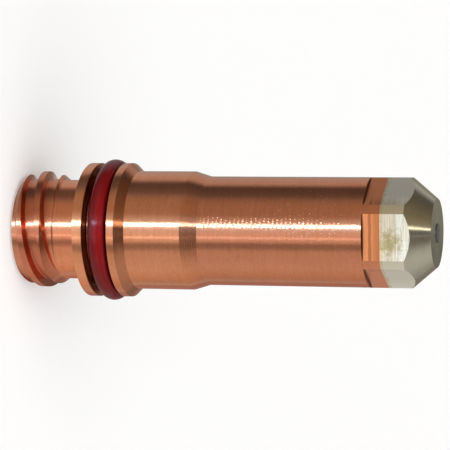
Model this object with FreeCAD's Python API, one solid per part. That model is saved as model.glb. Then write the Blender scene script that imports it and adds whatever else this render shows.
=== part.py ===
import FreeCAD, Part

# Electrode of a liquid-cooled plasma cutting torch.
#
# The electrode is the inner consumable of the torch. It screws into the torch head by a
# short two-start thread at its rear end, an O-ring in its flange keeps the coolant in, and
# the arc starts from a small emitter pressed into the middle of its front face.
#
# Four pieces: the turned copper body, the silver nose joined to its front end, the emitter
# and the O-ring. The body is a tube. Coolant comes in from the rear, runs up the bore and
# turns round the post of the nose, which stands up inside the bore and holds the emitter.
#
# The frame stands the electrode on its rear rim: the axis is Z, the rim is at z = 0 and
# the front face looks up. Millimetres and degrees.

import math
import os

from FreeCAD import Vector

# Overall sizes
OVERALL_LENGTH = 39.84
BARREL_RADIUS = 5.12        # the long plain stretch, copper and silver alike

# Steps of the turned body, behind the barrel
REAR_BARREL_STEP = 0.47     # the stretch behind the barrel stands this much prouder
REAR_BARREL_LENGTH = 5.40
TAPER_LENGTH = 1.53         # from the rear barrel down to the barrel

# Flange with the O-ring groove
FLANGE_STEP = 0.76          # the flange stands this much prouder than the rear barrel
REAR_LAND = 0.96
FRONT_LAND = 0.72
FLANGE_CHAMFER_ANGLE = 45.0
EDGE_BREAK = 0.06           # small bevel on the flange's sharp edges
GROOVE_DEPTH = 1.37
GROOVE_SIDE_PLAY = 0.65     # groove width beyond the ring's section
GROOVE_CORNER = 0.15        # bevel left in the corners of the groove floor

# O-ring, as it sits stretched over the groove floor
RING_SECTION = 1.74
RING_SEAT = 0.02            # the ring's inside is pressed flat by this much
RING_FORWARD = 0.155        # how far the ring sits in front of the groove's middle

# Neck between the thread and the flange
NECK_LENGTH = 2.46
NECK_RELIEF = 0.07          # the neck is this much under the thread's root
NECK_CORNER = 0.12          # bevel where the run-out meets the neck

# Two-start right-hand thread
THREAD_CREST_RADIUS = 5.54
THREAD_DEPTH = 0.75
THREAD_STARTS = 2
THREAD_PITCH = 1.90         # crest to next crest, so the lead is starts times this
THREAD_CREST_FLAT = 0.64
THREAD_FLANK_ANGLE = 10.0   # from square to the axis
THREAD_BEVEL = 0.11         # along each side of the crest and root edges
THREAD_LENGTH = 3.00        # full thread, from the rim to the run-out
THREAD_PHASE = 89.0         # azimuth where the first groove's middle crosses the rim
RUNOUT_ANGLE = 38.5
REAR_CHAMFER = 0.72

# Coolant passage, cut from the rear
BORE_RADIUS = 3.50
BORE_MOUTH_CHAMFER = 0.35
DRILL_POINT_ANGLE = 118.0
POCKET_STEP = 0.20          # the ring-shaped end of the passage is this much narrower than the bore
POCKET_DEPTH = 3.57         # from the joint back to the bore's full width
POCKET_CORNER = 0.30        # bevel left in the corners of the pocket's floor
POCKET_FLOOR = 2.75         # metal left between the passage and the front face

# Post of the nose, inside the pocket
POST_RADIUS = 1.90
POST_LENGTH = 4.40
POST_CHAMFER = 0.30

# Silver nose
NOSE_LENGTH = 4.47          # front face back to the copper
NOSE_CONE_ANGLE = 40.5      # from the axis
FACE_RADIUS = 3.20
FACE_EDGE_BEVEL = 0.06

# Emitter
EMITTER_RADIUS = 0.90
EMITTER_DEPTH = 4.20
EMITTER_PROUD = 0.08        # it stands out of the face by this much

# Six wrench flats, milled across the joint and out over the cone
FLAT_COUNT = 6
FLAT_DEPTH = 0.47           # under the barrel, at the middle of a flat
FLAT_LENGTH = 6.09          # front face back to the shoulder
FLAT_AZIMUTH = -84.4        # middle of the first flat

# How far cutting tools reach past what they cut
OVERCUT = 0.30
THREAD_TOOL_RISE = 0.05     # the groove tool flares out over the crest within this height
THREAD_TOOL_FLARE = 0.15    # and by this much on each side

# Heights and radii that follow
REAR_BARREL_RADIUS = BARREL_RADIUS + REAR_BARREL_STEP
FLANGE_RADIUS = REAR_BARREL_RADIUS + FLANGE_STEP
RUNOUT_LENGTH = (THREAD_DEPTH + NECK_RELIEF) / math.tan(math.radians(RUNOUT_ANGLE))
NECK_RADIUS = THREAD_CREST_RADIUS - THREAD_DEPTH - NECK_RELIEF
NECK_START = THREAD_LENGTH + RUNOUT_LENGTH
FLANGE_START = NECK_START + NECK_LENGTH
GROOVE_WIDTH = RING_SECTION + GROOVE_SIDE_PLAY
GROOVE_START = FLANGE_START + REAR_LAND
GROOVE_END = GROOVE_START + GROOVE_WIDTH
GROOVE_FLOOR_RADIUS = FLANGE_RADIUS - GROOVE_DEPTH
FLANGE_END = GROOVE_END + FRONT_LAND
FLANGE_CHAMFER_LENGTH = FLANGE_STEP / math.tan(math.radians(FLANGE_CHAMFER_ANGLE))
TAPER_START = FLANGE_END + FLANGE_CHAMFER_LENGTH + REAR_BARREL_LENGTH
BARREL_START = TAPER_START + TAPER_LENGTH
JOINT_HEIGHT = OVERALL_LENGTH - NOSE_LENGTH
CONE_START = OVERALL_LENGTH - (BARREL_RADIUS - FACE_RADIUS) / math.tan(
    math.radians(NOSE_CONE_ANGLE))
FLAT_SHOULDER = OVERALL_LENGTH - FLAT_LENGTH
POCKET_FLOOR_HEIGHT = OVERALL_LENGTH - POCKET_FLOOR
POCKET_RADIUS = BORE_RADIUS - POCKET_STEP
BORE_LENGTH = JOINT_HEIGHT - POCKET_DEPTH
POCKET_START = BORE_LENGTH + POCKET_STEP / math.tan(math.radians(DRILL_POINT_ANGLE / 2))


def outline(corners):
    """Closed wire in the XZ plane. A corner is (radius, height) or (radius, height, bevel)."""
    points = [Vector(corner[0], 0, corner[1]) for corner in corners]
    path = []
    for index, point in enumerate(points):
        bevel = corners[index][2] if len(corners[index]) > 2 else 0.0
        if bevel == 0.0:
            path.append(point)
            continue
        before = (points[index - 1] - point).normalize()
        after = (points[(index + 1) % len(points)] - point).normalize()
        path.append(point + before * bevel)
        path.append(point + after * bevel)
    return Part.makePolygon(path + path[:1])


def turned(corners):
    """Solid turned about the Z axis from a half section."""
    return Part.Face(outline(corners)).revolve(Vector(0, 0, 0), Vector(0, 0, 1), 360)


def thread_groove(number):
    """Cutting tool for one groove of the thread, a bevelled trapezium swept up a helix."""
    lead = THREAD_PITCH * THREAD_STARTS
    root = THREAD_CREST_RADIUS - THREAD_DEPTH
    flank = THREAD_DEPTH * math.tan(math.radians(THREAD_FLANK_ANGLE))
    half_mouth = (THREAD_PITCH - THREAD_CREST_FLAT) / 2
    half_root = half_mouth - flank
    clear = THREAD_CREST_RADIUS + THREAD_TOOL_RISE
    flare = half_mouth + THREAD_TOOL_FLARE
    outside = THREAD_CREST_RADIUS + OVERCUT
    section = [
        (outside, -flare),
        (clear, -flare),
        (THREAD_CREST_RADIUS, -half_mouth, THREAD_BEVEL),
        (root, -half_root, THREAD_BEVEL),
        (root, half_root, THREAD_BEVEL),
        (THREAD_CREST_RADIUS, half_mouth, THREAD_BEVEL),
        (clear, flare),
        (outside, flare),
    ]
    bottom = -(flare + OVERCUT)
    top = NECK_START + NECK_LENGTH / 2
    profile = outline(section)
    profile.translate(Vector(0, 0, bottom))
    helix = Part.makeLongHelix(lead, top - bottom, root)
    helix.translate(Vector(0, 0, bottom))
    groove = Part.Wire(helix.Edges).makePipeShell([profile], True, True)
    turn = THREAD_PHASE + 360.0 * bottom / lead + 360.0 * number / THREAD_STARTS
    groove.rotate(Vector(0, 0, 0), Vector(0, 0, 1), turn)
    return groove


def wrench_flats_tool():
    """Cutting tool for the six flats: everything outside a hexagonal bar, ahead of the shoulder."""
    length = FLAT_LENGTH + OVERCUT
    outside = BARREL_RADIUS + REAR_BARREL_STEP + OVERCUT
    apothem = BARREL_RADIUS - FLAT_DEPTH
    corner_radius = apothem / math.cos(math.pi / FLAT_COUNT)
    corners = []
    for index in range(FLAT_COUNT):
        azimuth = math.radians(FLAT_AZIMUTH + 360.0 * (index + 0.5) / FLAT_COUNT)
        corners.append(Vector(corner_radius * math.cos(azimuth), corner_radius * math.sin(azimuth), 0))
    bar = Part.Face(Part.makePolygon(corners + corners[:1])).extrude(Vector(0, 0, length))
    tool = Part.makeCylinder(outside, length).cut(bar)
    tool.translate(Vector(0, 0, FLAT_SHOULDER))
    return tool


def copper_body():
    """Turned copper tube with the thread, the neck, the grooved flange and the barrel."""
    blank = turned([
        (BORE_RADIUS + BORE_MOUTH_CHAMFER, 0),
        (THREAD_CREST_RADIUS - REAR_CHAMFER, 0),
        (THREAD_CREST_RADIUS, REAR_CHAMFER, THREAD_BEVEL),
        (THREAD_CREST_RADIUS, THREAD_LENGTH, THREAD_BEVEL),
        (NECK_RADIUS, NECK_START, NECK_CORNER),
        (NECK_RADIUS, FLANGE_START),
        (FLANGE_RADIUS, FLANGE_START, EDGE_BREAK),
        (FLANGE_RADIUS, GROOVE_START, EDGE_BREAK),
        (GROOVE_FLOOR_RADIUS, GROOVE_START, GROOVE_CORNER),
        (GROOVE_FLOOR_RADIUS, GROOVE_END, GROOVE_CORNER),
        (FLANGE_RADIUS, GROOVE_END, EDGE_BREAK),
        (FLANGE_RADIUS, FLANGE_END),
        (REAR_BARREL_RADIUS, FLANGE_END + FLANGE_CHAMFER_LENGTH),
        (REAR_BARREL_RADIUS, TAPER_START),
        (BARREL_RADIUS, BARREL_START),
        (BARREL_RADIUS, JOINT_HEIGHT),
        (POCKET_RADIUS, JOINT_HEIGHT),
        (POCKET_RADIUS, POCKET_START),
        (BORE_RADIUS, BORE_LENGTH),
        (BORE_RADIUS, BORE_MOUTH_CHAMFER),
    ])
    grooves = [thread_groove(number) for number in range(THREAD_STARTS)]
    return blank.cut(grooves).cut(wrench_flats_tool())


def silver_nose():
    """Cone-fronted nose with the post behind it, its rear rim flat against the copper."""
    hole_floor = OVERALL_LENGTH - EMITTER_DEPTH
    post_end = POCKET_FLOOR_HEIGHT - POST_LENGTH
    nose = turned([
        (0, post_end),
        (POST_RADIUS, post_end, POST_CHAMFER),
        (POST_RADIUS, POCKET_FLOOR_HEIGHT, POCKET_CORNER),
        (POCKET_RADIUS, POCKET_FLOOR_HEIGHT, POCKET_CORNER),
        (POCKET_RADIUS, JOINT_HEIGHT),
        (BARREL_RADIUS, JOINT_HEIGHT),
        (BARREL_RADIUS, CONE_START),
        (FACE_RADIUS, OVERALL_LENGTH, FACE_EDGE_BEVEL),
        (EMITTER_RADIUS, OVERALL_LENGTH),
        (EMITTER_RADIUS, hole_floor),
        (0, hole_floor),
    ])
    return nose.cut(wrench_flats_tool())


def emitter():
    """Small round slug pressed into the hole in the nose, a line-to-line fit."""
    top = OVERALL_LENGTH + EMITTER_PROUD
    return turned([
        (0, OVERALL_LENGTH - EMITTER_DEPTH),
        (EMITTER_RADIUS, OVERALL_LENGTH - EMITTER_DEPTH),
        (EMITTER_RADIUS, top),
        (0, top),
    ])


def o_ring():
    """Ring of round section, its inside pressed flat on the groove floor."""
    section_radius = RING_SECTION / 2
    middle_radius = GROOVE_FLOOR_RADIUS + section_radius - RING_SEAT
    middle_height = (GROOVE_START + GROOVE_END) / 2 + RING_FORWARD
    half_seat = math.sqrt(section_radius ** 2 - (section_radius - RING_SEAT) ** 2)
    low = Vector(GROOVE_FLOOR_RADIUS, 0, middle_height - half_seat)
    high = Vector(GROOVE_FLOOR_RADIUS, 0, middle_height + half_seat)
    outermost = Vector(middle_radius + section_radius, 0, middle_height)
    section = Part.Wire([
        Part.Arc(low, outermost, high).toShape(),
        Part.LineSegment(high, low).toShape(),
    ])
    return Part.Face(section).revolve(Vector(0, 0, 0), Vector(0, 0, 1), 360)


def main():
    os.makedirs("parts", exist_ok=True)
    pieces = {
        "copper_body": copper_body(),
        "silver_nose": silver_nose(),
        "emitter": emitter(),
        "o_ring": o_ring(),
    }
    for name, shape in pieces.items():
        shape.exportStep("parts/" + name + ".step")
        box = shape.optimalBoundingBox()
        print("%s: %d solid, %.2f mm3, valid %s, z %.2f to %.2f, x to %.3f" % (
            name, len(shape.Solids), shape.Volume, shape.isValid(), box.ZMin, box.ZMax, box.XMax))


main()
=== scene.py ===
# %% [markdown]
# A plasma torch electrode in Blender.
#
# The object is a small turned part, about 40 mm long: a copper tube with a short thread and
# a flange, a silver nose joined to its end, a dark emitter in the middle of the nose and a
# red rubber ring in the flange. The construction comes from a CAD frame, which this script
# never moves. The frame's meshes are made of flat facets, and bright turned metal shows
# every facet in its reflections, so each piece gets a finer mesh of the same size here,
# and then a finish, a studio and a camera.

# %% Load the frame
import math

import bmesh
import bpy
import numpy as np
from mathutils import Matrix, Vector


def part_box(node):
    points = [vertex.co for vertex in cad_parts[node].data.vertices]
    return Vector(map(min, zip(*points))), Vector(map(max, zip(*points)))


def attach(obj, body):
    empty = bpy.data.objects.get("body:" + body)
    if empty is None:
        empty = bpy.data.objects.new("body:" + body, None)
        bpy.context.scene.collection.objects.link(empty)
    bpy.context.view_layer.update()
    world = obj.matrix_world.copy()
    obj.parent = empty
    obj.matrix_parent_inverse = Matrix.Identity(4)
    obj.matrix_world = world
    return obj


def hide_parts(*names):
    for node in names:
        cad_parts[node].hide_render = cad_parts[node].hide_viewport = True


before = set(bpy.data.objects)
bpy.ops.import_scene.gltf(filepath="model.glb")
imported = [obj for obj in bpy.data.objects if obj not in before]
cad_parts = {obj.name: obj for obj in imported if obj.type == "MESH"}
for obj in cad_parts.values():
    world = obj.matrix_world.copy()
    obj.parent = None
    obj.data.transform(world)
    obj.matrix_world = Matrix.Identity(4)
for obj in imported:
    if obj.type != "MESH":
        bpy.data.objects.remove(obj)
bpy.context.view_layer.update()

MM = 0.001

# %% [markdown]
# The heights of the joint, the ring and the front face are read from the boxes of the
# frame's nodes. The other sizes are those that the part was turned to, in millimetres:
# radii from the axis and heights above the rear rim, on which the electrode stands.

# %% Sizes read from the frame
joint_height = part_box("copper_body")[1].z / MM
face_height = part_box("silver_nose")[1].z / MM
emitter_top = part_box("emitter")[1].z / MM
ring_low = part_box("o_ring")[0].z / MM
ring_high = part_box("o_ring")[1].z / MM
print("joint at %.2f, face at %.2f, ring from %.2f to %.2f mm" % (
    joint_height, face_height, ring_low, ring_high))

# %% [markdown]
# These are the sizes of the outline that the lathe cut. They are the frame's own, so each
# finer mesh fills the same space as the piece that it stands for.

# %% Sizes of the turned outline
BARREL_RADIUS = 5.12
REAR_BARREL_RADIUS = 5.59
BARREL_START = 18.25
TAPER_START = 16.72
FLANGE_RADIUS = 6.35
FLANGE_START = 6.49
GROOVE_START = 7.45
GROOVE_END = 9.84
FLANGE_END = 10.56
FLANGE_CHAMFER = 0.76
GROOVE_FLOOR = 4.98
NECK_RADIUS = 4.72
NECK_START = 4.03
THREAD_END = 3.00
REAR_CHAMFER = 0.72
BORE_RADIUS = 3.50
BORE_CHAMFER = 0.35
BORE_END = 31.80
POCKET_RADIUS = 3.30
POCKET_START = 31.92
print("barrel %.2f and flange %.2f mm across" % (2 * BARREL_RADIUS, 2 * FLANGE_RADIUS))

# %% [markdown]
# Real machined edges are never quite sharp. The lathe tool has a small nose radius and the
# edges are broken by hand, and on metal it is this narrow band that catches the light. So
# the outlines are drawn as corners with a radius each, and this helper swings the arcs.

# %% A helper that rounds the corners of an outline
ARC_STEPS = 6


def rounded(corners):
    """Points of an open outline. A corner is (radius, height) or (radius, height, rounding)."""
    path = []
    for index, corner in enumerate(corners):
        here = Vector(corner[:2])
        if len(corner) == 2:
            path.append(here)
            continue
        before = (Vector(corners[index - 1][:2]) - here).normalized()
        after = (Vector(corners[index + 1][:2]) - here).normalized()
        half_angle = before.angle(after) / 2
        reach = corner[2] / math.tan(half_angle)
        middle = here + (before + after).normalized() * corner[2] / math.sin(half_angle)
        start = here + before * reach - middle
        end = here + after * reach - middle
        turn = start.angle_signed(end)
        for step in range(ARC_STEPS + 1):
            path.append(middle + Matrix.Rotation(-turn * step / ARC_STEPS, 2) @ start)
    return [(point.x, point.y) for point in path]


print("a corner becomes", len(rounded([(0, 0), (1, 0, 0.1), (1, 1)])) - 2, "points")

# %% [markdown]
# Every metal piece is a skin of columns that run up the part, one column for each direction
# around the axis. A lathe would give the same outline to each column, but the wrench flats
# and the thread change it, so each column has its own points. The columns are spaced so
# that one falls exactly on each edge of each flat.

# %% Columns around the axis
FLAT_COUNT = 6
FLAT_DISTANCE = 4.65
FLAT_AZIMUTH = -84.4
FLAT_SHOULDER = 33.75
FLAT_STEPS = 30
STRIP_STEPS = 8
flat_half_angle = math.degrees(math.acos(FLAT_DISTANCE / BARREL_RADIUS))


def column_angles():
    """Directions in degrees and, for each, its angle from the middle of the nearest flat."""
    sector = 360 / FLAT_COUNT
    across_flat = np.linspace(-flat_half_angle, flat_half_angle, FLAT_STEPS + 1)
    across_strip = np.linspace(flat_half_angle, sector - flat_half_angle, STRIP_STEPS + 1)[1:-1]
    one = np.concatenate([across_flat, across_strip])
    turned = np.concatenate([FLAT_AZIMUTH + sector * number + one for number in range(FLAT_COUNT)])
    from_flat = np.tile(np.where(one > sector / 2, one - sector, one), FLAT_COUNT)
    return turned, from_flat


angles, angles_from_flat = column_angles()
flat_radius = np.minimum(BARREL_RADIUS, FLAT_DISTANCE / np.cos(np.radians(angles_from_flat)))
print(len(angles), "columns; a flat is", round(2 * flat_half_angle, 1), "degrees wide")


# %% [markdown]
# The skin helper joins each column to the next with quads. Points that fall on one place,
# such as where an outline has no shoulder, are merged afterwards. Edges that turn by more
# than 20 degrees stay sharp and all others are shaded smooth.

# %% A helper that joins columns of points into a mesh
SHARP_ANGLE = math.radians(20)
MERGE_DISTANCE = 0.0002 * MM


def build_skin(name, radii, heights, turned=None, closed=False, spiral=None):
    """A mesh from tables of radii and heights, one row for each column of the skin.

    A closed outline also joins its last point to its first. With spiral = (first, count,
    shift), the points first to first + count belong to a thread: after the last column,
    point k meets point k + shift of the first column."""
    turned = np.radians(angles if turned is None else turned)
    columns, rows = radii.shape
    points = np.stack([radii * np.cos(turned)[:, None], radii * np.sin(turned)[:, None], heights], -1)
    build = bmesh.new()
    verts = [[build.verts.new(point * MM) for point in column] for column in points]

    def partner(row):
        if spiral is None or not spiral[0] <= row < spiral[0] + spiral[1]:
            return row
        return min(row + spiral[2], spiral[0] + spiral[1] - 1)

    steps = [(row, row + 1) for row in range(rows - 1)]
    if closed:
        steps.append((rows - 1, 0))
    for column in range(columns):
        last = column == columns - 1
        beside = verts[0] if last else verts[column + 1]
        for row, above in steps:
            low, high = (partner(row), partner(above)) if last else (row, above)
            corners = [verts[column][row], beside[low], beside[high], verts[column][above]]
            build.faces.new(list(dict.fromkeys(corners)))
        if last and spiral:
            first = spiral[0]
            for row in range(first, first + spiral[2]):
                build.faces.new([verts[column][first], verts[0][row], verts[0][row + 1]])
    bmesh.ops.remove_doubles(build, verts=build.verts, dist=MERGE_DISTANCE)
    bmesh.ops.dissolve_degenerate(build, edges=build.edges, dist=MERGE_DISTANCE)
    bmesh.ops.recalc_face_normals(build, faces=build.faces)
    mesh = bpy.data.meshes.new(name)
    build.to_mesh(mesh)
    open_edges = sum(1 for edge in build.edges if not edge.is_manifold)
    build.free()
    mesh.polygons.foreach_set("use_smooth", [True] * len(mesh.polygons))
    mesh.set_sharp_from_angle(angle=SHARP_ANGLE)
    piece = bpy.data.objects.new(name, mesh)
    bpy.context.scene.collection.objects.link(piece)
    triangles = sum(len(face.vertices) - 2 for face in mesh.polygons)
    print("%s: %d triangles, %d open edges" % (name, triangles, open_edges))
    return piece


def same_all_round(path, count):
    """The same outline for every column, as tables of radii and heights."""
    path = np.array(path)
    return np.tile(path[:, 0], (count, 1)), np.tile(path[:, 1], (count, 1))


# %% [markdown]
# The thread is right-handed with two starts. Each groove is a square-looking trapezium
# whose middle climbs by the lead, two pitches, in each turn. Points placed by their
# distance from the nearest groove climb with it, so the edges of the thread are real edges
# of the mesh and not steps in a grid. Where the blank is lower than the thread, at the rear
# chamfer and the run-out, the blank's radius is used.

# %% Outline of one pitch of thread
THREAD_CREST = 5.54
THREAD_ROOT = 4.79
THREAD_PITCH = 1.90
THREAD_STARTS = 2
THREAD_PHASE = 89.0
HALF_MOUTH = 0.63
HALF_ROOT = 0.498
THREAD_ROUNDING = 0.06
ROOT_ROUNDING = 0.12
HALF_PITCH_STEPS = 17
FLANK_RISE = 0.2
FLANK_STEPS = 4


def pitch_outline():
    """Distances from the groove's middle, and radii, over one pitch from crest to crest."""
    half_pitch = THREAD_PITCH / 2
    path = rounded([
        (THREAD_CREST, -half_pitch),
        (THREAD_CREST, -HALF_MOUTH, THREAD_ROUNDING),
        (THREAD_ROOT, -HALF_ROOT, ROOT_ROUNDING),
        (THREAD_ROOT, HALF_ROOT, ROOT_ROUNDING),
        (THREAD_CREST, HALF_MOUTH, THREAD_ROUNDING),
        (THREAD_CREST, half_pitch),
    ])
    dense = [path[0]]
    for start, end in zip(path, path[1:]):
        length = abs(end[1] - start[1])
        on_flat = abs(end[0] - start[0]) < 1e-6
        steps = max(1, round(length / half_pitch * HALF_PITCH_STEPS)) if on_flat else 1
        if abs(end[0] - start[0]) > FLANK_RISE:
            steps = FLANK_STEPS
        for step in range(1, steps + 1):
            share = step / steps
            dense.append((start[0] + (end[0] - start[0]) * share, start[1] + (end[1] - start[1]) * share))
    return np.array(dense)


pitch_points = pitch_outline()
print("one pitch of thread has", len(pitch_points) - 1, "points")


# %% [markdown]
# The outline of one pitch is now laid end to end along the part, and lifted a little from
# each column to the next, by the lead in a whole turn. What lies below the rim is cut
# off. Where the blank is lower than the thread, the blank's radius is used.

# %% The threaded stretch of every column
BLANK_ROUNDING = 0.12
NECK_ROUNDING = 0.30


def blank_radius(height):
    """Radius of the turned blank along the threaded stretch, before the grooves are cut."""
    blank = rounded([
        (THREAD_CREST - REAR_CHAMFER, -0.001),
        (THREAD_CREST, REAR_CHAMFER, BLANK_ROUNDING),
        (THREAD_CREST, THREAD_END, BLANK_ROUNDING),
        (NECK_RADIUS, NECK_START, NECK_ROUNDING),
        (NECK_RADIUS, FLANGE_START),
    ])
    return np.interp(height, [point[1] for point in blank], [point[0] for point in blank])


def thread_columns(top):
    """Radii and heights of the threaded stretch from the rim up to the given height."""
    lead = THREAD_PITCH * THREAD_STARTS
    per_pitch = len(pitch_points) - 1
    first = -THREAD_STARTS - 1
    last = math.ceil(top / THREAD_PITCH) + 1
    along = np.concatenate([pitch_points[:-1, 1] + THREAD_PITCH * number
                            for number in range(first, last)])
    radius = np.tile(pitch_points[:-1, 0], last - first)
    climb = lead * (angles - angles[0]) / 360
    start = lead * ((angles[0] - THREAD_PHASE) / 360 % 1)
    heights = along[None, :] + start + climb[:, None]
    clipped = np.clip(heights, 0, top)
    cut = np.tile(radius, (len(angles), 1))
    at_rim = np.array([np.interp(0, row, radius) for row in heights])
    cut = np.where(heights < 0, at_rim[:, None], cut)
    return np.minimum(cut, blank_radius(clipped)), clipped, per_pitch * THREAD_STARTS


THREAD_TOP = 4.45
thread_radii, thread_heights, thread_shift = thread_columns(THREAD_TOP)
print("threaded stretch has", thread_radii.shape[1], "points in each column")

# %% [markdown]
# The rest of the copper body is turned: the neck, the flange with the groove for the rubber
# ring, the thicker rear barrel, the taper and the long barrel. The bore runs up inside it.
# Near the front the six wrench flats are milled, so there the radius depends on the column.

# %% Copper body
EDGE = 0.05
CORNER = 0.15
TURNED_STEP = 0.6
BORE_STEP = 2.0


def fill_in(path, step=TURNED_STEP):
    """Adds points on long straight runs, so that the shading has something to hold on to."""
    dense = [path[0]]
    for start, end in zip(path, path[1:]):
        count = max(1, round(math.dist(start, end) / step))
        for index in range(1, count + 1):
            share = index / count
            dense.append((start[0] + (end[0] - start[0]) * share, start[1] + (end[1] - start[1]) * share))
    return dense


def make_copper_body():
    outside = fill_in(rounded([
        (NECK_RADIUS, THREAD_TOP),
        (NECK_RADIUS, FLANGE_START, 0.08),
        (FLANGE_RADIUS, FLANGE_START, EDGE),
        (FLANGE_RADIUS, GROOVE_START, EDGE),
        (GROOVE_FLOOR, GROOVE_START, CORNER),
        (GROOVE_FLOOR, GROOVE_END, CORNER),
        (FLANGE_RADIUS, GROOVE_END, EDGE),
        (FLANGE_RADIUS, FLANGE_END, EDGE),
        (REAR_BARREL_RADIUS, FLANGE_END + FLANGE_CHAMFER, 0.06),
        (REAR_BARREL_RADIUS, TAPER_START, CORNER),
        (BARREL_RADIUS, BARREL_START, CORNER),
        (BARREL_RADIUS, FLAT_SHOULDER),
    ]))
    inside = fill_in(rounded([
        (POCKET_RADIUS, joint_height),
        (POCKET_RADIUS, POCKET_START),
        (BORE_RADIUS, BORE_END),
        (BORE_RADIUS, BORE_CHAMFER),
        (BORE_RADIUS + BORE_CHAMFER, 0),
    ]), BORE_STEP)
    count = len(angles)
    out_radii, out_heights = same_all_round(outside, count)
    in_radii, in_heights = same_all_round(inside, count)
    flat_heights = np.tile(np.linspace(FLAT_SHOULDER, joint_height, 5), (count, 1))
    flat_radii = np.tile(flat_radius[:, None], (1, 5))
    radii = np.concatenate([thread_radii, out_radii, flat_radii, in_radii], 1)
    heights = np.concatenate([thread_heights, out_heights, flat_heights, in_heights], 1)
    return build_skin("copper_body_turned", radii, heights, closed=True,
                      spiral=(0, thread_radii.shape[1], thread_shift))


copper_body = make_copper_body()
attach(copper_body, "root")
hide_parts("copper_body")

# %% [markdown]
# The nose is silver, because it carries heat away from the arc better than copper. Its cone
# and the six flats meet along a curve: at each column the flat ends at the height where the
# cone has come in to the flat's radius. Putting a point exactly there keeps the curve clean.

# %% Silver nose
CONE_ANGLE = math.radians(40.5)
FACE_RADIUS = 3.20
EMITTER_RADIUS = 0.90
EMITTER_DEPTH = 4.20
POCKET_FLOOR = 37.09
POST_RADIUS = 1.90
POST_END = 32.69
POST_ROUNDING = 0.30
HOLE_EDGE = 0.04
CONE_STEPS = 8
FACE_EDGE = 0.05
FACE_STEP = 0.4


def make_silver_nose():
    count = len(angles)
    cone_slope = math.tan(CONE_ANGLE)
    ridge = face_height - (flat_radius - FACE_RADIUS) / cone_slope
    share = np.linspace(0, 1, 6)
    side_heights = joint_height + (ridge - joint_height)[:, None] * share
    side_radii = np.tile(flat_radius[:, None], (1, len(share)))
    edge = np.array(rounded([
        (FACE_RADIUS + 0.5 * cone_slope, face_height - 0.5),
        (FACE_RADIUS, face_height, FACE_EDGE),
        (1.0, face_height),
    ]))[1:-1]
    share = np.linspace(0, 1, CONE_STEPS + 1)[1:-1]
    cone_heights = ridge[:, None] + (edge[0, 1] - ridge)[:, None] * share
    cone_radii = FACE_RADIUS + (face_height - cone_heights) * cone_slope
    front = fill_in([tuple(point) for point in edge] + rounded([
        (3.0, face_height),
        (EMITTER_RADIUS, face_height, HOLE_EDGE),
        (EMITTER_RADIUS, face_height - EMITTER_DEPTH),
    ]), FACE_STEP)
    back = rounded([
        (0.0, POST_END),
        (POST_RADIUS, POST_END, POST_ROUNDING),
        (POST_RADIUS, POCKET_FLOOR, POST_ROUNDING),
        (POCKET_RADIUS, POCKET_FLOOR, POST_ROUNDING),
        (POCKET_RADIUS, joint_height),
    ])
    front.append((0.0, face_height - EMITTER_DEPTH))
    front_radii, front_heights = same_all_round(front, count)
    back_radii, back_heights = same_all_round(back, count)
    radii = np.concatenate([back_radii, side_radii, cone_radii, front_radii], 1)
    heights = np.concatenate([back_heights, side_heights, cone_heights, front_heights], 1)
    return build_skin("silver_nose_turned", radii, heights)


silver_nose = make_silver_nose()
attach(silver_nose, "root")
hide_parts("silver_nose")

# %% [markdown]
# The emitter is a slug of hafnium, pressed into its hole and left a hair proud. Its end is
# very slightly crowned, with a soft edge.

# %% Emitter
SLUG_COLUMNS = 96
SLUG_PLAY = 0.002
SLUG_CROWN = 0.02


def make_emitter():
    slug_radius = EMITTER_RADIUS - SLUG_PLAY
    path = fill_in(rounded([
        (0.0, face_height - EMITTER_DEPTH),
        (slug_radius, face_height - EMITTER_DEPTH),
        (slug_radius, emitter_top - SLUG_CROWN, 0.03),
        (EMITTER_RADIUS / 2, emitter_top - 0.004, 0.3),
        (0.0, emitter_top),
    ]), 0.3)
    radii, heights = same_all_round(path, SLUG_COLUMNS)
    turned = np.arange(SLUG_COLUMNS) * 360 / SLUG_COLUMNS
    return build_skin("emitter_slug", radii, heights, turned=turned)


emitter = make_emitter()
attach(emitter, "root")
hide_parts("emitter")

# %% [markdown]
# The rubber ring is a plain torus, pressed a little flat where it sits on the groove's
# floor. It bulges as it is stretched over the flange, so it stands proud of the metal.

# %% Rubber ring
RING_COLUMNS = 160
RING_STEPS = 44
RING_SHRINK = 0.999


def make_ring():
    middle_height = (ring_low + ring_high) / 2
    thickness = (ring_high - ring_low) / 2
    middle_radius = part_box("o_ring")[1].x / MM - thickness
    around = np.arange(RING_STEPS) / RING_STEPS * 2 * math.pi
    path = [(max(GROOVE_FLOOR + 0.001, middle_radius + thickness * RING_SHRINK * math.cos(turn)),
             middle_height + thickness * RING_SHRINK * math.sin(turn)) for turn in around]
    radii, heights = same_all_round(path, RING_COLUMNS)
    turned = np.arange(RING_COLUMNS) * 360 / RING_COLUMNS
    return build_skin("rubber_ring", radii, heights, turned=turned, closed=True)


rubber_ring = make_ring()
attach(rubber_ring, "root")
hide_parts("o_ring")


# %% [markdown]
# The flats were milled, not turned, so they get finishes of their own. A face is on a flat
# when it lies at the flats' distance from the axis, measured square to the nearest flat,
# above the shoulder, and faces outwards and not along the part.

# %% Mark the milled flats
FLAT_TOLERANCE = 0.004
ABOVE_SHOULDER = 0.02
MOST_TILT = 0.1


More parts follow.
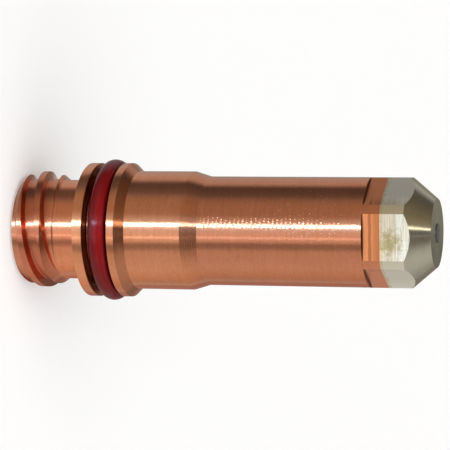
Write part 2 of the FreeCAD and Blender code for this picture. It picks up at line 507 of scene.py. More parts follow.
def milled_faces(mesh):
    """Numbers of the faces that lie on the wrench flats."""
    centre = np.array([tuple(face.center) for face in mesh.polygons]) / MM
    turned = np.degrees(np.arctan2(centre[:, 1], centre[:, 0]))
    sector = 360 / FLAT_COUNT
    from_flat = (turned - FLAT_AZIMUTH + sector / 2) % sector - sector / 2
    distance = np.hypot(centre[:, 0], centre[:, 1]) * np.cos(np.radians(from_flat))
    on_flat = abs(distance - FLAT_DISTANCE) < FLAT_TOLERANCE
    on_flat &= centre[:, 2] > FLAT_SHOULDER + ABOVE_SHOULDER
    facing_out = np.array([abs(face.normal.z) for face in mesh.polygons]) < MOST_TILT
    return np.nonzero(on_flat & facing_out)[0]


for piece in (copper_body, silver_nose):
    marked = milled_faces(piece.data)
    for number in marked:
        piece.data.polygons[int(number)].material_index = 1
    print(piece.name, "has", len(marked), "milled faces")


# %% [markdown]
# A finish is a small tree of nodes, and so is the light of the world. This helper keeps the
# tree tidy: each of its functions adds one node and gives back its output, so that a finish
# reads like a recipe.

# %% A helper that grows a tree of nodes
class Tree:
    def __init__(self, tree):
        self.tree = tree

    def link(self, source, socket):
        """Gives a socket a value, or links it to another node's output."""
        if isinstance(source, bpy.types.NodeSocket):
            self.tree.links.new(source, socket)
        else:
            socket.default_value = source

    def add(self, kind, inputs, **settings):
        node = self.tree.nodes.new(kind)
        for name, value in settings.items():
            setattr(node, name, value)
        for name, source in inputs.items():
            self.link(source, node.inputs[name])
        return node

    def calc(self, operation, a, b=0.0):
        return self.add("ShaderNodeMath", {0: a, 1: b}, operation=operation).outputs[0]

    def product(self, first, *others):
        """Multiplies any number of values."""
        for other in others:
            first = self.calc("MULTIPLY", first, other)
        return first

    def scaled(self, vector, share):
        """A place or a colour times a number."""
        return self.add("ShaderNodeVectorMath", {0: vector, "Scale": share}, operation="SCALE").outputs[0]

    def between(self, source, low, high, start=0.0, end=1.0):
        """Changes a value from start to end while the source goes from low to high."""
        inputs = {"Value": source, "From Min": low, "From Max": high, "To Min": start, "To Max": end}
        return self.add("ShaderNodeMapRange", inputs).outputs[0]

    def blend(self, factor, a, b, kind="MIX"):
        node = self.add("ShaderNodeMix", {}, data_type="RGBA", blend_type=kind)
        self.link(factor, node.inputs["Factor"])
        colours = {socket.name: socket for socket in node.inputs if socket.type == "RGBA"}
        self.link(a, colours["A"])
        self.link(b, colours["B"])
        return [socket for socket in node.outputs if socket.type == "RGBA"][0]

    def noise(self, vector, scale, detail=2.0, roughness=0.5):
        inputs = {"Vector": vector, "Scale": scale, "Detail": detail, "Roughness": roughness}
        return self.add("ShaderNodeTexNoise", inputs).outputs["Fac"]

    def ramp(self, source, low, high, stops):
        """A colour for each value of the source, from a list of (value, colour)."""
        node = self.add("ShaderNodeValToRGB", {0: self.between(source, low, high)})
        elements = node.color_ramp.elements
        for index, (value, colour) in enumerate(stops):
            place = (value - low) / (high - low)
            element = elements[index] if index < 2 else elements.new(place)
            element.position = place
            element.color = (*colour, 1)
        return node.outputs[0]


class Finish(Tree):
    def __init__(self, name):
        self.material = bpy.data.materials.new(name)
        self.material.use_nodes = True
        super().__init__(self.material.node_tree)
        self.shader = self.tree.nodes["Principled BSDF"]
        place = self.add("ShaderNodeTexCoord", {}).outputs["Object"]
        self.place = self.scaled(place, 1 / MM)
        parts = self.add("ShaderNodeSeparateXYZ", {0: self.place})
        self.x, self.y, self.height = parts.outputs
        self.across = self.add("ShaderNodeCombineXYZ", {"X": self.x, "Y": self.y}).outputs[0]
        length = self.add("ShaderNodeVectorMath", {0: self.across}, operation="LENGTH")
        self.radius = length.outputs["Value"]

    def set(self, **values):
        for name, value in values.items():
            self.link(value, self.shader.inputs[name.replace("_", " ")])


print("the helpers work in millimetres, as the part does")

# %% [markdown]
# A lathe leaves fine grooves that run round the part. They are too fine to model, and two
# things stand for them. The reflection is stretched across the grooves, along the axis,
# which is what the shader's anisotropy does, with a tangent that runs round the Z axis. And
# a bump of thin uneven rings, with a little grain, breaks the reflection up. The rings are
# noise that is stretched: it changes fast along the axis, or outwards on an end face, and
# slowly round the part.

# %% Turned surface
def level_stops(*stops):
    """Grey stops for a ramp, from pairs of (value, level)."""
    return [(value, (level, level, level)) for value, level in stops]


def rings(finish, per_mm, round_share, outwards=True):
    """Noise in thin rings: per_mm rings along the axis or outwards, and much slower round it."""
    along = finish.calc("ADD", finish.height, finish.radius) if outwards else finish.height
    fast = finish.add("ShaderNodeCombineXYZ", {"Z": finish.calc("MULTIPLY", along, per_mm)}).outputs[0]
    slow = finish.scaled(finish.across, per_mm * round_share)
    joined = finish.add("ShaderNodeVectorMath", {0: fast, 1: slow}, operation="ADD").outputs[0]
    return finish.noise(joined, 1.0, 3.0, 0.6)


def stretch_along_axis(finish):
    """Grooves round the axis spread a reflection along the axis."""
    tangent = finish.add("ShaderNodeTangent", {}, direction_type="RADIAL", axis="Z").outputs[0]
    finish.set(Tangent=tangent, Metallic=1.0, Anisotropic=1.0, Anisotropic_Rotation=0.25)


def bumps(finish, *layers):
    """Stacks bump layers of (height, depth in mm)."""
    normal = None
    for height, depth in layers:
        inputs = {"Height": height, "Strength": 1.0, "Distance": depth * MM}
        if normal is not None:
            inputs["Normal"] = normal
        normal = finish.add("ShaderNodeBump", inputs).outputs[0]
    finish.set(Normal=normal)


print("turned metal spreads its reflections along the axis")

# %% [markdown]
# Each flat ends in a small square shoulder, where the cutter stopped. The shoulder's face
# stays in shadow, so a thin dark line of painted shade is put on it. It lies at one
# height, so this helper finds it by height alone.

# %% A line of painted shade in the corner of the shoulder
SHOULDER_REACH = 0.006
SHOULDER_PAINTED_SHADE = 0.30


def near_height(finish, height, reach):
    """1 at a height and 0 from reach away."""
    away = finish.calc("ABSOLUTE", finish.calc("SUBTRACT", finish.height, height))
    return finish.between(away, reach, reach * 0.6)


print("the shoulder at", FLAT_SHOULDER, "mm is darkened to", SHOULDER_PAINTED_SHADE)

# %% [markdown]
# Copper comes off the lathe in slightly different tones, because each stretch was cut with
# another tool and handled afterwards. The ramp along the part also carries painted light and
# shade: the neck, the lands of the flange and the rear barrel are painted lighter and more
# golden, a painted reflection, and the groove under the ring is painted darker, a painted
# shade. The threaded end is a little rougher, and the long barrel has a faint pink
# cloudiness. One ramp along the part holds these tones, as shares of one copper.

# %% Tones of the copper, with painted light and shade
COPPER = (0.740, 0.262, 0.122)
COPPER_TONES_AND_PAINTED_LIGHT = [(0, (1.06, 1.12, 1.20)), (0.7, (1.04, 1.00, 1.02)), (1.0, (1.00, 0.80, 0.78)),
                (3.2, (1.04, 0.86, 0.84)), (4.0, (1.30, 1.22, 1.18)), (6.3, (1.30, 1.24, 1.20)),
                (6.6, (1.30, 1.38, 1.34)), (7.3, (1.30, 1.38, 1.34)), (7.6, (0.98, 0.87, 0.82)),
                (9.6, (0.98, 0.87, 0.82)), (9.85, (1.12, 1.14, 1.10)), (10.5, (1.14, 1.18, 1.14)),
                (10.7, (1.20, 1.20, 1.18)), (11.2, (1.20, 1.20, 1.18)), (11.5, (1.14, 1.18, 1.16)),
                (16.6, (1.12, 1.16, 1.14)), (17.0, (1.12, 1.14, 1.10)), (18.6, (1.02, 1.02, 1.03)),
                (33.6, (1.02, 1.01, 1.00)), (35.4, (1.03, 1.01, 0.97))]
COPPER_EDGE = (1.0, 0.87, 0.78, 1)
PART_LENGTH = 40
FAINT_CLOUD = ((0.94, 0.92, 0.84, 1), (1.03, 1.04, 1.14, 1))
SMUDGE = (0.88, 0.84, 0.82, 1)


def along_part(finish, *stops):
    """A share for each height along the part, from pairs of (height, share)."""
    return finish.ramp(finish.height, 0, PART_LENGTH, level_stops(*stops))


def copper_tone_and_painted_light(finish):
    """The tone of each stretch, with its painted light and shade, made cloudy and smudged, times the colour
    of copper.
    """
    tone = finish.ramp(finish.height, 0, PART_LENGTH, COPPER_TONES_AND_PAINTED_LIGHT)
    cloud = finish.between(finish.noise(finish.place, 0.45, 3.0, 0.6), 0.25, 0.75)
    cloudy = finish.blend(cloud, *FAINT_CLOUD)
    smudge = finish.between(finish.noise(finish.place, 0.9, 4.0, 0.7), 0.56, 0.72)
    cloudy = finish.blend(smudge, cloudy, SMUDGE)
    tone = finish.blend(1.0, tone, cloudy, "MULTIPLY")
    return finish.blend(1.0, tone, (*COPPER, 1), "MULTIPLY")


print("copper has", len(COPPER_TONES_AND_PAINTED_LIGHT), "tones along its length")

# %% [markdown]
# Two kinds of marks make the copper look used, and a few painted glints sit beside them. The
# taper was cut with a steady fine feed, which shows as thin dark rings. On the barrel just
# behind the taper the tool chattered: every 0.4 mm the surface is torn a little, and beside
# the long highlight the tears catch the light as small ticks. And above the highlight,
# towards the nose, a few pale flecks are painted into the colour: painted glints, where
# small dents would catch the strip lamp. Chatter and flecks are kept to the small areas
# where they can be seen.

# %% Marks and painted glints on the copper
TAPER_CUT = 0.21
CHATTER_SPACING = 0.41
GLINT_FLECK_TONE = (1.0, 0.66, 0.50, 1)


def wave_along(finish, spacing):
    """A sine wave along the part."""
    return finish.calc("SINE", finish.calc("MULTIPLY", finish.height, 2 * math.pi / spacing))


def taper_cuts(finish):
    """The shade of the cuts on the taper, and 1 elsewhere."""
    where = along_part(finish, (16.6, 0), (16.9, 1), (18.1, 1), (18.4, 0))
    uneven = finish.between(finish.noise(finish.place, 0.7, 2.0), 0.35, 0.6, 0.3, 1.0)
    depth = finish.between(wave_along(finish, TAPER_CUT), -0.6, 1.0, -0.04, 0.14)
    return finish.calc("SUBTRACT", 1.0, finish.product(where, uneven, depth))


def glint_fleck_share(finish):
    """1 in a painted glint fleck and 0 elsewhere."""
    glint_flecks = finish.between(finish.noise(finish.place, 5.0, 1.0), 0.71, 0.76)
    where = along_part(finish, (23.5, 0), (26.5, 1), (31.5, 1), (33.0, 0.3))
    upper = finish.between(finish.x, 0.8, 0.0)
    front = finish.between(finish.y, -3.2, -3.8)
    return finish.product(glint_flecks, where, upper, front)


def chatter_share(finish):
    """How much the tool tore each place."""
    ring = finish.between(wave_along(finish, CHATTER_SPACING), 0.0, 0.8)
    patchy = finish.between(finish.noise(finish.place, 1.4, 2.0), 0.36, 0.50, 0.5, 1.0)
    where = along_part(finish, (18.2, 0), (18.9, 1), (27.0, 0.9), (31.5, 0.4), (33, 0))
    beside = finish.product(finish.between(finish.x, -1.7, -1.2),
                            finish.between(finish.x, -0.20, -0.70, 0.1, 1.0),
                            finish.between(finish.y, -2.0, -3.0))
    return finish.product(ring, where, patchy, beside)


print("chatter every", CHATTER_SPACING, "mm, cuts on the taper every", TAPER_CUT, "mm")

# %% [markdown]
# The turned copper puts these together. The roughness falls from the thread to the barrel,
# which looks the smoothest. A thin clear sheen, the shader's coat, adds a second
# reflection, as a film of oil on handled copper would.

# %% Turned copper
COPPER_ROUGHNESS = level_stops(
    (0, 0.21), (3.0, 0.22), (7.4, 0.21), (9.7, 0.19), (10.6, 0.17), (12.5, 0.165))
CHATTER_ROUGHNESS = 0.06


def make_copper_finish():
    finish = Finish("turned_copper")
    stretch_along_axis(finish)
    grain = finish.noise(finish.place, 4.0, 3.0, 0.65)
    lines = rings(finish, 6.0, 0.04)
    speckle = finish.between(finish.calc("ADD", grain, lines), 0.7, 1.3, 0.91, 1.07)
    # painted shade: a thin dark line on the shoulder's face, which stays in shadow
    shoulder = near_height(finish, FLAT_SHOULDER, SHOULDER_REACH)
    corner = finish.between(shoulder, 0, 1, 1.0, SHOULDER_PAINTED_SHADE)
    shade = finish.scaled(copper_tone_and_painted_light(finish), finish.product(speckle, taper_cuts(finish), corner))
    # painted glints: pale flecks in the colour beside the highlight
    finish.set(Base_Color=finish.blend(glint_fleck_share(finish), shade, GLINT_FLECK_TONE))

    chatter = chatter_share(finish)
    worn = finish.ramp(finish.height, 0, PART_LENGTH, COPPER_ROUGHNESS)
    roughness = finish.calc("ADD", worn, finish.between(grain, 0.35, 0.75, -0.01, 0.03))
    roughness = finish.calc("ADD", roughness, finish.calc("MULTIPLY", chatter, CHATTER_ROUGHNESS))
    finish.set(Roughness=roughness, Specular_Tint=COPPER_EDGE, Coat_Weight=0.65, Coat_Roughness=0.20)

    calm_flange = finish.between(finish.height, 8, 12, 0.25, 1.0)
    dents = finish.calc("MULTIPLY", finish.noise(finish.place, 2.6, 3.0, 0.55), calm_flange)
    torn = finish.calc("MULTIPLY", finish.noise(finish.place, 7.0, 1.0), chatter)
    specks = finish.noise(finish.place, 7.0, 2.0, 0.7)
    bumps(finish, (lines, 0.004), (dents, 0.004), (torn, 0.026), (specks, 0.0040))
    return finish.material


turned_copper = make_copper_finish()
print(turned_copper.name, "has", len(turned_copper.node_tree.nodes), "nodes")

# %% [markdown]
# A milled flat has straight marks across the axis. The flat that faces the camera is worn,
# and the cutter's steps are painted on its copper as light and dark bands, a painted
# reflection of the steps. The other flats are plain and clean, as nothing shows them to be
# otherwise, and their copper is painted lighter than the barrel's, a painted light. All the
# copper flats are painted darker towards one side and near the shoulder, a painted shade.

# %% Milled copper
LIGHT_BAND, MIDDLE_BAND, DARK_BAND = (1.30, 1.38, 1.28), (1.02, 1.00, 0.86), (0.78, 0.72, 0.58)
PAINTED_STEP_BANDS = [(33.75, MIDDLE_BAND), (33.85, LIGHT_BAND), (34.28, LIGHT_BAND), (34.38, DARK_BAND),
                (34.54, DARK_BAND), (34.66, (1.18, 1.24, 1.08)), (34.86, (1.10, 1.12, 0.96)),
                (35.00, MIDDLE_BAND), (35.30, (0.86, 0.84, 0.70))]
PLAIN_FLAT_PAINTED_LIGHTER = (1.26, 1.28, 1.30, 1)


def on_worn_flat(finish):
    """1 on the flat that faces the camera and 0 on the others."""
    return finish.between(finish.y, -3.4, -4.2)


def make_milled_copper_finish():
    finish = Finish("milled_copper")
    stretch_along_axis(finish)
    wobble = finish.between(finish.noise(finish.place, 0.8, 2.0), 0.3, 0.7, -0.03, 0.03)
    steps = finish.ramp(finish.calc("ADD", finish.height, wobble), 33.5, 36.5, PAINTED_STEP_BANDS)
    worn = on_worn_flat(finish)
    colour = finish.blend(1.0, finish.blend(worn, PLAIN_FLAT_PAINTED_LIGHTER, steps), (*COPPER, 1), "MULTIPLY")
    lines = rings(finish, 4.0, 0.02, outwards=False)
    # painted shade: the flat darkens towards the shoulder's corner
    corner = finish.between(finish.height, FLAT_SHOULDER + 0.16, FLAT_SHOULDER + 0.05, 1.0, SHOULDER_PAINTED_SHADE)
    marks = finish.calc("MULTIPLY", worn, finish.between(lines, 0.3, 0.7, -0.12, 0.10))
    # painted shade: the copper flats are darker towards one side
    painted_side_shade = finish.between(finish.x, 0.3, 2.0, 1.0, 0.90)
    shade = finish.product(finish.calc("ADD", 1.0, marks), painted_side_shade, corner)
    finish.set(Base_Color=finish.scaled(colour, shade), Roughness=finish.between(lines, 0.3, 0.7, 0.17, 0.22))
    bumps(finish, (finish.calc("MULTIPLY", lines, worn), 0.004))
    return finish.material


milled_copper = make_milled_copper_finish()
print(milled_copper.name, "has", len(PAINTED_STEP_BANDS), "band stops on the worn flat")

# %% [markdown]
# The nose is silver, turned smooth on the cone and the face. At the joint a little copper
# has run into it, which leaves an uneven golden line. The face is painted darker towards one
# side, down to 0.62, a painted shade.

# %% Turned silver
JOINT_GOLD = (0.80, 0.58, 0.34, 1)
TURNED_SILVER = ((0.80, 0.735, 0.55, 1), (0.84, 0.77, 0.60, 1))


def golden_joint(finish, tone):
    """The first tenths of a millimetre above the joint, where copper has run into the silver."""
    uneven = finish.between(finish.noise(finish.place, 2.2, 3.0), 0.3, 0.7, -0.16, 0.16)
    height = finish.calc("ADD", finish.height, uneven)
    share = finish.between(height, joint_height + 0.10, joint_height + 0.34, 0.75, 0.0)
    return finish.blend(share, tone, JOINT_GOLD)


def make_silver_finish():
    finish = Finish("turned_silver")
    stretch_along_axis(finish)
    cloud = finish.between(finish.noise(finish.place, 0.8, 3.0), 0.3, 0.7)
    tone = golden_joint(finish, finish.blend(cloud, *TURNED_SILVER))
    grain = finish.noise(finish.place, 5.0, 3.0, 0.6)
    lines = rings(finish, 7.0, 0.04)
    speckle = finish.between(finish.calc("ADD", grain, lines), 0.7, 1.3, 0.95, 1.04)
    on_face = finish.between(finish.height, face_height - 0.03, face_height - 0.01)
    # painted shade: the face darkens towards one side
    face_painted_shade = finish.between(on_face, 0, 1, 1.0, finish.between(finish.x, -0.5, 2.0, 0.98, 0.62))
    finish.set(Base_Color=finish.scaled(tone, finish.calc("MULTIPLY", speckle, face_painted_shade)),
               Roughness=finish.between(grain, 0.3, 0.7, 0.17, 0.21))
    bumps(finish, (lines, 0.003), (grain, 0.001))
    return finish.material


turned_silver = make_silver_finish()
print(turned_silver.name, "has its golden line at", round(joint_height, 2), "mm")

# %% [markdown]
# On the worn flat the cutter tore the silver a little. The flat is bright near the cone,
# has fine marks across the axis and carries an olive stain, such as a dried drop of
# coolant leaves. The other flats are plain, and are painted lighter towards one side, a
# painted light.

# %% Milled silver
STAIN_PLACE = (0.95, -4.65, 36.20)
STAIN_TONE = (0.52, 0.43, 0.20, 1)
WORN_SILVER = ((0.88, 0.765, 0.58, 1), (1.0, 0.94, 0.78, 1))
PLAIN_SILVER_PAINTED_LIGHTER = ((0.90, 0.835, 0.69, 1), (1.0, 0.97, 0.80, 1))


def stain_share(finish, blotch):
    """How dark the stain is: most near its middle, with a ragged edge."""
    away = finish.add("ShaderNodeVectorMath", {0: finish.place, 1: STAIN_PLACE}, operation="DISTANCE")
    ragged = finish.calc("ADD", away.outputs["Value"], finish.between(blotch, 0.25, 0.75, 0.8, -0.8))
    return finish.calc("MULTIPLY", finish.between(ragged, 1.45, 0.45), 0.9)


def make_milled_silver_finish():
    finish = Finish("milled_silver")
    stretch_along_axis(finish)
    lines = rings(finish, 4.5, 0.05, outwards=False)
    blotch = finish.noise(finish.place, 2.4, 4.0, 0.65)
    worn = on_worn_flat(finish)
    height = finish.calc("ADD", finish.height, finish.between(blotch, 0.3, 0.7, -0.30, 0.30))
    towards_cone = finish.between(height, 36.75, 37.05)
    worn_tone = golden_joint(finish, finish.blend(towards_cone, *WORN_SILVER))
    worn_tone = finish.blend(stain_share(finish, blotch), worn_tone, STAIN_TONE)
    # painted light: the plain flats are lighter towards one side
    plain_tone_painted_lighter = golden_joint(finish, finish.blend(finish.between(finish.x, 4.2, 5.0), *PLAIN_SILVER_PAINTED_LIGHTER))
    tone = finish.blend(worn, plain_tone_painted_lighter, worn_tone)
    marks = finish.calc("MULTIPLY", worn, finish.between(lines, 0.34, 0.66, -0.22, 0.12))
    finish.set(Base_Color=finish.scaled(tone, finish.calc("ADD", 1.0, marks)),
               Roughness=finish.between(blotch, 0.3, 0.7, 0.17, 0.22))
    bumps(finish, (finish.calc("MULTIPLY", lines, worn), 0.006),
          (finish.calc("MULTIPLY", blotch, worn), 0.004))
    return finish.material


milled_silver = make_milled_silver_finish()
print(milled_silver.name, "has its stain at", STAIN_PLACE, "mm")

# %% [markdown]
# Hafnium is a dark grey metal. The end of the slug is duller than the silver around it, and
# its rim is darker still, where it was pressed in.

# %% Emitter metal
HAFNIUM = ((0.335, 0.34, 0.35, 1), (0.42, 0.42, 0.43, 1))


def make_emitter_finish():
    finish = Finish("dark_hafnium")
    cloud = finish.between(finish.noise(finish.place, 2.5, 4.0), 0.3, 0.7)
    rim = finish.between(finish.radius, 0.70, 0.90, 1.0, 0.45)
    finish.set(Base_Color=finish.scaled(finish.blend(cloud, *HAFNIUM), rim), Metallic=1.0,
               Roughness=finish.between(cloud, 0, 1, 0.30, 0.42))
    bumps(finish, (finish.noise(finish.place, 9.0, 3.0), 0.004))
    return finish.material


dark_hafnium = make_emitter_finish()
print(dark_hafnium.name, "has", len(dark_hafnium.node_tree.nodes), "nodes")

# %% [markdown]
# The rubber is a dense red with a soft sheen, so it gets a low specular level, and a fine
# grain with a trace of dust. Its colour is painted lighter where it faces the eye and darker
# where it curves away from it, a painted shade made by a ramp over the facing angle.

# %% Rubber
RUBBER = ((0.200, 0.0040, 0.0062, 1), (0.240, 0.0050, 0.0080, 1))
DUST = (0.45, 0.30, 0.28, 1)
RUBBER_PAINTED_SHADE = level_stops((0, 1.22), (0.05, 1.14), (0.17, 0.84), (0.55, 0.60), (1, 0.50))


def make_rubber_finish():
    finish = Finish("red_rubber")
    cloud = finish.between(finish.noise(finish.place, 0.6, 4.0), 0.3, 0.7)
    dust = finish.between(finish.noise(finish.place, 7.0, 2.0), 0.68, 0.80, 0.0, 0.12)
    tone = finish.blend(dust, finish.blend(cloud, *RUBBER), DUST)
    turned_away = finish.add("ShaderNodeLayerWeight", {"Blend": 0.5}).outputs["Facing"]
    # painted shade: lighter where the ring faces the eye, darker where it turns away
    depth = finish.ramp(turned_away, 0, 1, RUBBER_PAINTED_SHADE)
    finish.set(Base_Color=finish.blend(1.0, tone, depth, "MULTIPLY"), Specular_IOR_Level=0.27,
               Roughness=finish.between(cloud, 0, 1, 0.12, 0.17))
    bumps(finish, (finish.noise(finish.place, 5.0, 3.0), 0.002))
    return finish.material


red_rubber = make_rubber_finish()
print(red_rubber.name, "is deepened by", len(RUBBER_PAINTED_SHADE), "stops")

# %% [markdown]
# The two metal bodies take two finishes each, turned first and milled second, because the
# faces of the flats were given the second place above.

# %% Finishes on the pieces
for piece, finishes in ((copper_body, (turned_copper, milled_copper)),
                        (silver_nose, (turned_silver, milled_silver)),
                        (emitter, (dark_hafnium,)),
                        (rubber_ring, (red_rubber,))):
    for made in finishes:
        piece.data.materials.append(made)
    print(piece.name, "wears", [made.name for made in finishes])

# %% [markdown]
# A plain white floor takes the shadow. It is so close that it would fill every reflection
# in the metal with plain white, so glossy rays pass it by, and the metal shows the studio.
# A faint glow brings it up to a pale white. Diffuse rays don't see that glow, so it adds
# no light to the object.

# %% Floor
FLOOR_SIZE = 6.0
FLOOR_WHITE = (0.80, 0.80, 0.80, 1)
FLOOR_GLOW = 0.23
bpy.ops.mesh.primitive_plane_add(size=FLOOR_SIZE, location=(0, 0, 0))
floor = bpy.context.object
floor.name = "floor"
paint = Finish("floor_white")
paint.set(Base_Color=FLOOR_WHITE, Roughness=1.0, Specular_IOR_Level=0.0, Emission_Color=(1, 1, 1, 1))
rays = paint.add("ShaderNodeLightPath", {})
seen = paint.calc("MAXIMUM", rays.outputs["Is Camera Ray"], rays.outputs["Is Glossy Ray"])
seen = paint.calc("MAXIMUM", seen, rays.outputs["Is Transmission Ray"])
paint.set(Emission_Strength=paint.calc("MULTIPLY", seen, FLOOR_GLOW))
floor.data.materials.append(paint.material)
floor.visible_glossy = False
print(floor.name, "is", FLOOR_SIZE, "m wide and glows by", FLOOR_GLOW)

# %% [markdown]
# Behind the floor stands a pale round wall that only the camera sees, so that the studio's
# panels don't show behind the part in low views.

# %% Backdrop
BACKDROP_RADIUS = 2.9
BACKDROP_WHITE = (0.95, 0.95, 0.95, 1)
bpy.ops.mesh.primitive_uv_sphere_add(segments=64, ring_count=32, radius=BACKDROP_RADIUS, location=(0, 0, 0))
backdrop = bpy.context.object
backdrop.name = "backdrop"
glow = Finish("backdrop_white")
glow.set(Base_Color=(0, 0, 0, 1), Specular_IOR_Level=0.0, Emission_Color=BACKDROP_WHITE,
         Emission_Strength=1.0)
backdrop.data.materials.append(glow.material)
for ray in ("diffuse", "glossy", "transmission", "volume_scatter", "shadow"):
    setattr(backdrop, "visible_" + ray, False)
print(backdrop.name, "has a radius of", BACKDROP_RADIUS, "m")

# %% [markdown]
# The studio is a ring of tall soft panels around the part, drawn in the world as a colour
# for each direction. A round bar shows each panel as a band along its length, at the place
# where its surface is turned half way towards the panel. So the bands that the part shows
# are listed here as panels, by azimuth in degrees, with the camera's side at 0. A panel is
# an azimuth, a brightness and, where it isn't grey, a tint.

# %% Tints of the panels
GREY = (1.0, 1.0, 1.0)
WARM = (1.0, 0.90, 0.76)
AMBER = (1.0, 0.84, 0.58)
SAND = (1.0, 0.84, 0.74)
COOL = (1.0, 1.08, 1.22)
PALE = (1.0, 1.18, 1.40)
ICE = (1.0, 1.42, 2.00)


def tinted_stop(place, value, tint=GREY):
    return place, tuple(value * part for part in tint)


def panels(*stops):
    """Colour stops from (degrees, brightness) or (degrees, brightness, tint)."""
    return [tinted_stop(*stop) for stop in stops]


print("a panel of 0.5 tinted warm is", panels((0, 0.5, WARM))[0][1])

# %% [markdown]
# The walls stand all round. The front card is added to them low down on the camera's side,
# where the barrel's middle looks, and holds the thin bright line beside the highlight. Low
# down at the back it holds a rust-coloured panel, which deepens the part's lower edge.
# The ceiling replaces the walls higher up, for the cone, the chamfers and the taper. It is
# darker, which keeps the cone dark.

# %% Walls, front card and ceiling
WALLS = panels(
    (-180, 1.0), (-176, 1.0), (-172, 0.36, WARM), (-150, 0.42), (-140, 0.50), (-118, 0.52),
    (-109, 0.25), (-104.5, 0.10), (-94, 0.112), (-86, 0.135), (-77, 0.175), (-71, 0.27),
    (-64, 0.355, WARM), (-56, 0.395, WARM), (-30, 0.44, WARM), (-18, 0.60), (0, 0.36),
    (27, 0.32), (36, 0.35), (43.5, 0.60), (84, 0.68), (104, 0.62, WARM), (116, 0.55, SAND),
    (124, 0.50, WARM), (127, 0.54), (134, 0.54), (138, 0.24), (172, 0.20), (176, 1.0), (180, 1.0))
FRONT_CARD = panels(
    (-180, 0), (-14, 0), (-9, 0.46, ICE), (-4, 0.46, ICE), (0, 0.45, COOL), (3, 0.46, COOL),
    (7, 0.54, COOL), (9, 0.56), (12.8, 0.56), (13.3, 1.5, PALE), (15.2, 1.5, PALE),
    (15.8, 0.52, COOL), (22.5, 0.44), (27.5, 0), (134, 0), (138, 1, (0.20, 0.07, 0.0)),
    (152, 1, (0.20, 0.03, 0.0)), (172, 1, (0.16, 0.02, 0.0)), (176, 0))
CEILING = panels(
    (-180, 0.20), (-156, 0.22), (-146, 0.27), (-133, 0.25), (-130, 0.055), (-121, 0.060),
    (-112, 0.105, AMBER), (-92, 0.12, AMBER), (-76, 0.175, AMBER), (-56, 0.18, AMBER),
    (-48, 0.28, AMBER), (-36, 0.28, AMBER), (-28, 0.18), (-25, 0.42, WARM), (-15, 0.42, WARM),
    (-11, 0.125), (12.6, 0.125), (13.3, 0.45), (15.2, 0.45), (15.9, 0.125), (24, 0.122, WARM),
    (48, 0.122, WARM), (56, 0.20), (68, 0.41), (96, 0.46), (112, 0.44), (128, 0.33), (150, 0.22),
    (170, 0.18))
print("walls have", len(WALLS), "stops, the front card", len(FRONT_CARD), "and the ceiling", len(CEILING))

# %% [markdown]
# How far up and down each of them reaches is another list, by elevation in degrees. The
# back has a plain grey panel of its own, which the front face of the nose looks at.

# %% How high the panels reach
FRONT_CARD_RISE = panels((-90, 1), (-4, 1), (6, 0), (20, 0))
CEILING_RISE = panels((-90, 0), (11, 0), (25, 1))
BACK = panels((-180, 1), (-158, 1), (-145, 0), (145, 0), (155, 1))
BACK_RISE = panels((-90, 0), (-3, 0), (5, 1))
BACK_COLOUR = (0.21, 0.205, 0.165, 1)
print("the ceiling starts at", CEILING_RISE[1][0], "degrees and is full at", CEILING_RISE[2][0])

# %% [markdown]
# A narrow strip lamp beside the camera makes the long highlight. It is a slab of constant
# x in the direction, so that it stays one straight line along a round bar. Its middle
# drifts a little with height, which sets the highlight on the barrel and on the taper. A
# soft haze around it gives the highlight its shoulders.

# %% Strip lamp and its haze
STRIP_LOW = -0.170
STRIP_HIGH = -0.192
STRIP_LIFT = 0.062
STRIP_HALF_WIDTH = 0.034
STRIP_EDGE = 0.012
STRIP_RISE = panels((-90, 0), (-52, 0), (-40, 12), (-26, 8, ICE), (-4, 8, ICE), (12, 3.6, ICE),
                    (26, 2.2, ICE), (40, 1.5, WARM), (65, 1.55, WARM), (90, 0.9, WARM))
HAZE = [(0.0, (0.20, 0.60, 0.85)), (0.06, (0.20, 0.60, 0.85)), (0.12, (0.13, 0.28, 0.40)), (0.34, (0, 0, 0))]
HAZE_RISE = panels((-90, 1), (8, 1), (28, 0))
print("the strip is", round(2 * STRIP_HALF_WIDTH, 3), "wide in a direction of length 1")

# %% [markdown]
# The world's nodes turn each direction into an azimuth and an elevation, look the panels up
# and add the strip and the haze on top.

# %% The world
BLACK = (0, 0, 0, 1)


def painted_room(sky, azimuth, elevation):
    """Walls with the front card and the back panel, and the ceiling over them."""
    card = sky.blend(1.0, sky.ramp(azimuth, -180, 180, FRONT_CARD),
                     sky.ramp(elevation, -90, 90, FRONT_CARD_RISE), "MULTIPLY")
    low = sky.blend(1.0, sky.ramp(azimuth, -180, 180, WALLS), card, "ADD")
    back = sky.blend(1.0, sky.ramp(azimuth, -180, 180, BACK),
                     sky.ramp(elevation, -90, 90, BACK_RISE), "MULTIPLY")
    low = sky.blend(back, low, BACK_COLOUR)
    return sky.blend(sky.ramp(elevation, -90, 90, CEILING_RISE), low,
                     sky.ramp(azimuth, -180, 180, CEILING))


def strip_and_haze(sky, x, y, z, elevation):
    """The strip lamp and the haze around it, both on the camera's side only."""
    middle = sky.calc("ADD", sky.between(z, -0.26, 0.34, STRIP_LOW, STRIP_HIGH),
                      sky.between(z, 0.36, 0.9, 0, STRIP_LIFT))
    from_strip = sky.calc("ABSOLUTE", sky.calc("SUBTRACT", x, middle))
    in_strip = sky.between(from_strip, STRIP_HALF_WIDTH + STRIP_EDGE, STRIP_HALF_WIDTH - STRIP_EDGE)
    in_front = sky.between(y, 0.05, -0.05)
    strength = sky.ramp(elevation, -90, 90, STRIP_RISE)
    strip = sky.blend(sky.calc("MULTIPLY", in_strip, in_front), BLACK, strength)
    haze = sky.blend(1.0, sky.ramp(from_strip, 0, 1, HAZE),
                     sky.ramp(elevation, -90, 90, HAZE_RISE), "MULTIPLY")
    return strip, sky.blend(in_front, BLACK, haze)


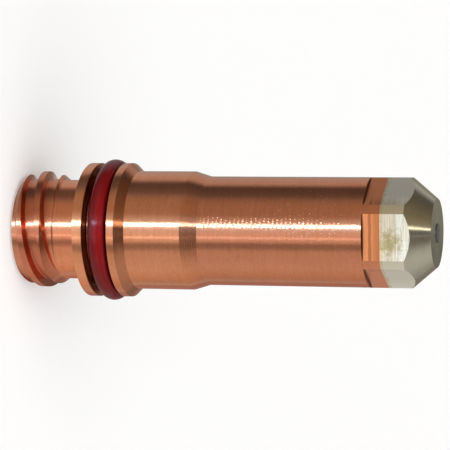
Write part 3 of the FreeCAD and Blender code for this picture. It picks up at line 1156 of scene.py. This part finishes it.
def build_world():
    world = bpy.data.worlds.new("studio")
    bpy.context.scene.world = world
    world.use_nodes = True
    sky = Tree(world.node_tree)
    direction = sky.add("ShaderNodeTexCoord", {}).outputs["Generated"]
    x, y, z = sky.add("ShaderNodeSeparateXYZ", {0: direction}).outputs
    azimuth = sky.calc("DEGREES", sky.calc("ARCTAN2", x, sky.calc("MULTIPLY", y, -1.0)))
    elevation = sky.calc("DEGREES", sky.calc("ARCSINE", z))
    strip, haze = strip_and_haze(sky, x, y, z, elevation)
    total = sky.blend(1.0, painted_room(sky, azimuth, elevation), strip, "ADD")
    background = world.node_tree.nodes["Background"]
    sky.link(sky.blend(1.0, total, haze, "ADD"), background.inputs["Color"])
    background.inputs["Strength"].default_value = 1.0
    return world


world = build_world()
print(world.name, "has", len(world.node_tree.nodes), "nodes")

# %% [markdown]
# One large soft lamp from above lights the floor and the rubber. It is a sun, so the floor
# is equally bright everywhere, and its wide angle keeps the shadow soft. It doesn't show in
# the metal.

# %% Lamp
SUN_ANGLE = 70
SUN_STRENGTH = 2.3
SUN_DIRECTION = (-0.10, 0.45, -1.0)


def add_sun():
    sun = bpy.data.objects.new("soft_sun", bpy.data.lights.new("soft_sun", "SUN"))
    bpy.context.scene.collection.objects.link(sun)
    sun.data.energy = SUN_STRENGTH
    sun.data.angle = math.radians(SUN_ANGLE)
    sun.rotation_euler = Vector(SUN_DIRECTION).to_track_quat("-Z", "Y").to_euler()
    sun.visible_glossy = False
    return sun


sun = add_sun()
print(sun.name, "has a strength of", SUN_STRENGTH, "and is", SUN_ANGLE, "degrees wide")

# %% [markdown]
# The camera stands where the photographer's did. The picture is turned on its side: the
# part's axis runs from left to right in it, tilted 15.5 degrees towards the camera. One
# point of the axis, inside the flange, is pinned to its pixel, and the rest follows from
# the tilt, the roll and the focal length.

# %% Camera
PHOTO_PIXELS = 450
FOCAL_PIXELS = 2382
SENSOR_WIDTH = 36
CLIP_START = 0.01
AXIS_TILT = math.radians(15.5)
AXIS_ROLL = math.radians(0.6)
ANCHOR_HEIGHT = 6.677 * MM
ANCHOR_PIXEL = Vector((94.85, 229.34))
ANCHOR_SCALE = 10.46 / MM


def photo_camera():
    camera = bpy.data.objects.new("camera", bpy.data.cameras.new("camera"))
    bpy.context.scene.collection.objects.link(camera)
    camera.data.sensor_width = SENSOR_WIDTH
    camera.data.lens = SENSOR_WIDTH * FOCAL_PIXELS / PHOTO_PIXELS
    camera.data.clip_start = CLIP_START
    ahead = Vector((0, math.cos(AXIS_TILT), -math.sin(AXIS_TILT)))
    along = Vector((0, math.sin(AXIS_TILT), math.cos(AXIS_TILT)))
    across = Vector((1, 0, 0))
    right = along * math.cos(AXIS_ROLL) - across * math.sin(AXIS_ROLL)
    down = across * math.cos(AXIS_ROLL) + along * math.sin(AXIS_ROLL)
    distance = FOCAL_PIXELS / ANCHOR_SCALE
    offset = (ANCHOR_PIXEL - Vector((PHOTO_PIXELS / 2, PHOTO_PIXELS / 2))) * distance / FOCAL_PIXELS
    place = Vector((0, 0, ANCHOR_HEIGHT)) - right * offset.x - down * offset.y - ahead * distance
    turn = Matrix((right, -down, -ahead)).transposed()
    camera.matrix_world = Matrix.Translation(place) @ turn.to_4x4()
    return camera


camera = photo_camera()
bpy.context.scene.camera = camera
bpy.context.scene.view_settings.view_transform = "Standard"
print("camera at", [round(v / MM, 1) for v in camera.matrix_world.translation], "mm")
